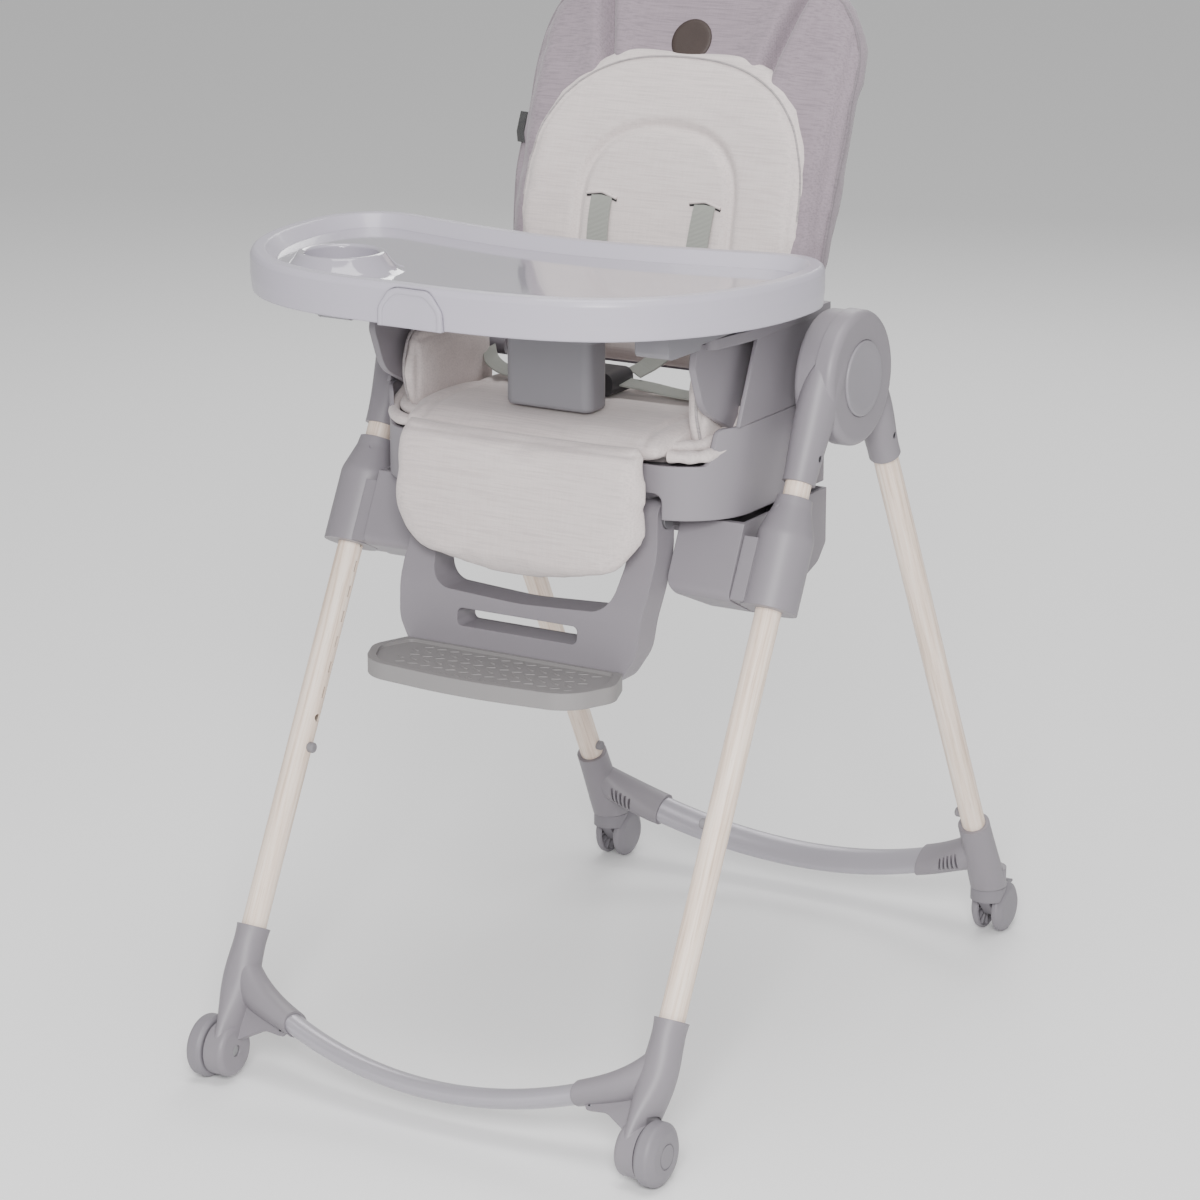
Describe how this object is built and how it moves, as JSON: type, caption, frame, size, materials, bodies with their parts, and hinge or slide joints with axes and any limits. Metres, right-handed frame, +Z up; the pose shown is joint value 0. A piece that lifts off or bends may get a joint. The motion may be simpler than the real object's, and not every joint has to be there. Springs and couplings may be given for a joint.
{
  "type": "baby high chair",
  "caption": "Folding high chair with a lift-out tray liner, reclining padded back, harness, adjustable seat height, leg rest, footrest and casters.",
  "frame": {"origin": "on the floor, midway between the two wheel lines and beneath the fold pivot", "axes": "+Z up; the sitter faces -Y; +X is the sitter's left; symmetric about the YZ plane apart from the cup holder"},
  "size_m": [0.5802, 0.8585, 1.0722],
  "materials": {
    "frame_plastic": "fine textured grey plastic",
    "button_plastic": "smooth satin grey plastic",
    "leg_finish": "pale wood-grain film on metal tube",
    "bar_metal": "satin silver-mauve paint on oval tube",
    "wheel_plastic": "satin grey plastic",
    "caster_plastic": "satin grey plastic",
    "pin_steel": "brushed",
    "screw_steel": "dark zinc",
    "stop_rubber": "matte",
    "seat_plastic": "satin grey plastic",
    "light_fabric": "light warm grey woven cloth",
    "melange_fabric": "grey-mauve melange cloth",
    "badge_leather": "dark brown synthetic leather",
    "webbing": "ribbed grey webbing",
    "buckle_plastic": "dark grey plastic",
    "buckle_button_plastic": "muted red plastic",
    "handle_plastic": "satin dark grey plastic",
    "tray_plastic": "satin lilac-grey plastic",
    "tray_liner": "polished lilac-grey plastic",
    "under_plastic": "satin grey plastic",
    "footrest_plastic": "warm grey plastic"
  },
  "bodies": {
    "front_frame": {"front_leg_left": "leg_finish", "front_leg_right": "leg_finish", "front_hub_left": "frame_plastic", "front_hub_right": "frame_plastic", "front_foot_left": "frame_plastic", "front_foot_right": "frame_plastic", "front_crossbar": "bar_metal", "hub_and_axle_pins": "pin_steel", "front_frame_screws": "screw_steel", "front_leg_stops": "stop_rubber"},
    "fold_button_left": {"fold_button_left": "button_plastic"},
    "fold_button_right": {"fold_button_right": "button_plastic"},
    "front_wheel_left": {"front_wheel_left": "wheel_plastic"},
    "front_wheel_right": {"front_wheel_right": "wheel_plastic"},
    "rear_frame": {"rear_leg_left": "leg_finish", "rear_leg_right": "leg_finish", "rear_hub_left": "frame_plastic", "rear_hub_right": "frame_plastic", "rear_foot_left": "frame_plastic", "rear_foot_right": "frame_plastic", "rear_crossbar": "bar_metal", "rear_frame_screws": "screw_steel", "rear_leg_stops": "stop_rubber"},
    "caster_left": {"caster_fork_left": "caster_plastic"},
    "caster_right": {"caster_fork_right": "caster_plastic"},
    "caster_wheels_left": {"caster_wheels_left": "wheel_plastic"},
    "caster_wheels_right": {"caster_wheels_right": "wheel_plastic"},
    "caster_brake_left": {"caster_brake_left": "caster_plastic"},
    "caster_brake_right": {"caster_brake_right": "caster_plastic"},
    "seat": {"slider_left": "frame_plastic", "slider_right": "frame_plastic", "carriage": "frame_plastic", "seat_shell": "seat_plastic", "armrest_left": "seat_plastic", "armrest_right": "seat_plastic", "seat_cushion": "light_fabric", "seat_bolsters": "light_fabric", "seat_pins": "pin_steel", "lap_straps": "webbing", "crotch_strap": "webbing", "buckle": "buckle_plastic"},
    "buckle_button": {"buckle_button": "buckle_button_plastic"},
    "backrest": {"backrest_shell": "seat_plastic", "backrest_pad": "melange_fabric", "backrest_inlay": "light_fabric", "backrest_badge": "badge_leather", "shoulder_straps": "webbing"},
    "recline_handle": {"recline_handle": "handle_plastic"},
    "tray": {"tray_body": "tray_plastic", "tray_underframe": "under_plastic", "crotch_post": "under_plastic"},
    "tray_insert": {"tray_insert": "tray_liner"},
    "tray_tab": {"tray_tab": "tray_plastic"},
    "legrest": {"legrest_board": "seat_plastic", "legrest_pad": "light_fabric"},
    "footrest": {"footrest_bracket": "frame_plastic", "footrest_plate": "footrest_plastic"}
  },
  "joints": [
    {"name": "frame_fold", "type": "hinge", "parent": "front_frame", "child": "rear_frame", "pos_m": [0, 0, 0.712], "axis": [-1, 0, 0], "range_deg": [0, 46]},
    {"name": "fold_button_left_press", "type": "slide", "parent": "front_frame", "child": "fold_button_left", "axis": [-1, 0, 0], "range_m": [0, 0.0025], "stiffness_N_per_m": 900},
    {"name": "front_wheel_left_spin", "type": "hinge", "parent": "front_frame", "child": "front_wheel_left", "pos_m": [0.264, -0.39347, 0.032], "axis": [1, 0, 0], "continuous": true},
    {"name": "caster_left_swivel", "type": "hinge", "parent": "rear_frame", "child": "caster_left", "pos_m": [0.246, 0.38067, 0.057], "axis": [0, 0, 1], "continuous": true},
    {"name": "caster_wheels_left_spin", "type": "hinge", "parent": "caster_left", "child": "caster_wheels_left", "pos_m": [0.246, 0.39867, 0.028], "axis": [1, 0, 0], "continuous": true},
    {"name": "caster_brake_left_press", "type": "hinge", "parent": "caster_left", "child": "caster_brake_left", "pos_m": [0.246, 0.41967, 0.049], "axis": [-1, 0, 0], "range_deg": [0, 12]},
    {"name": "fold_button_right_press", "type": "slide", "parent": "front_frame", "child": "fold_button_right", "axis": [1, 0, 0], "range_m": [0, 0.0025], "stiffness_N_per_m": 900},
    {"name": "front_wheel_right_spin", "type": "hinge", "parent": "front_frame", "child": "front_wheel_right", "pos_m": [-0.264, -0.39347, 0.032], "axis": [1, 0, 0], "continuous": true},
    {"name": "caster_right_swivel", "type": "hinge", "parent": "rear_frame", "child": "caster_right", "pos_m": [-0.246, 0.38067, 0.057], "axis": [0, 0, 1], "continuous": true},
    {"name": "caster_wheels_right_spin", "type": "hinge", "parent": "caster_right", "child": "caster_wheels_right", "pos_m": [-0.246, 0.39867, 0.028], "axis": [1, 0, 0], "continuous": true},
    {"name": "caster_brake_right_press", "type": "hinge", "parent": "caster_right", "child": "caster_brake_right", "pos_m": [-0.246, 0.41967, 0.049], "axis": [-1, 0, 0], "range_deg": [0, 12]},
    {"name": "seat_height", "type": "slide", "parent": "front_frame", "child": "seat", "axis": [0, -0.4555, -0.8902], "range_m": [0, 0.189]},
    {"name": "buckle_button_press", "type": "slide", "parent": "seat", "child": "buckle_button", "axis": [0, 1, 0], "range_m": [0, 0.002], "stiffness_N_per_m": 700},
    {"name": "backrest_recline", "type": "hinge", "parent": "seat", "child": "backrest", "pos_m": [0, 0.04, 0.69], "axis": [-1, 0, 0], "range_deg": [0, 55]},
    {"name": "recline_handle_pull", "type": "slide", "parent": "backrest", "child": "recline_handle", "axis": [0, 0.4622, 0.8868], "range_m": [0, 0.008], "stiffness_N_per_m": 500},
    {"name": "tray_slide", "type": "slide", "parent": "seat", "child": "tray", "axis": [0, -1, 0], "range_m": [0, 0.06]},
    {"name": "tray_insert_lift", "type": "slide", "parent": "tray", "child": "tray_insert", "axis": [0, 0, 1], "range_m": [0, 0.05]},
    {"name": "tray_tab_pull", "type": "slide", "parent": "tray", "child": "tray_tab", "axis": [0, -1, 0], "range_m": [0, 0.006], "stiffness_N_per_m": 600},
    {"name": "legrest_lift", "type": "hinge", "parent": "seat", "child": "legrest", "pos_m": [0, -0.193, 0.634], "axis": [-1, 0, 0], "range_deg": [0, 70]},
    {"name": "footrest_swing", "type": "hinge", "parent": "seat", "child": "footrest", "pos_m": [0, -0.166, 0.588], "axis": [1, 0, 0], "range_deg": [0, 35]}
  ]
}
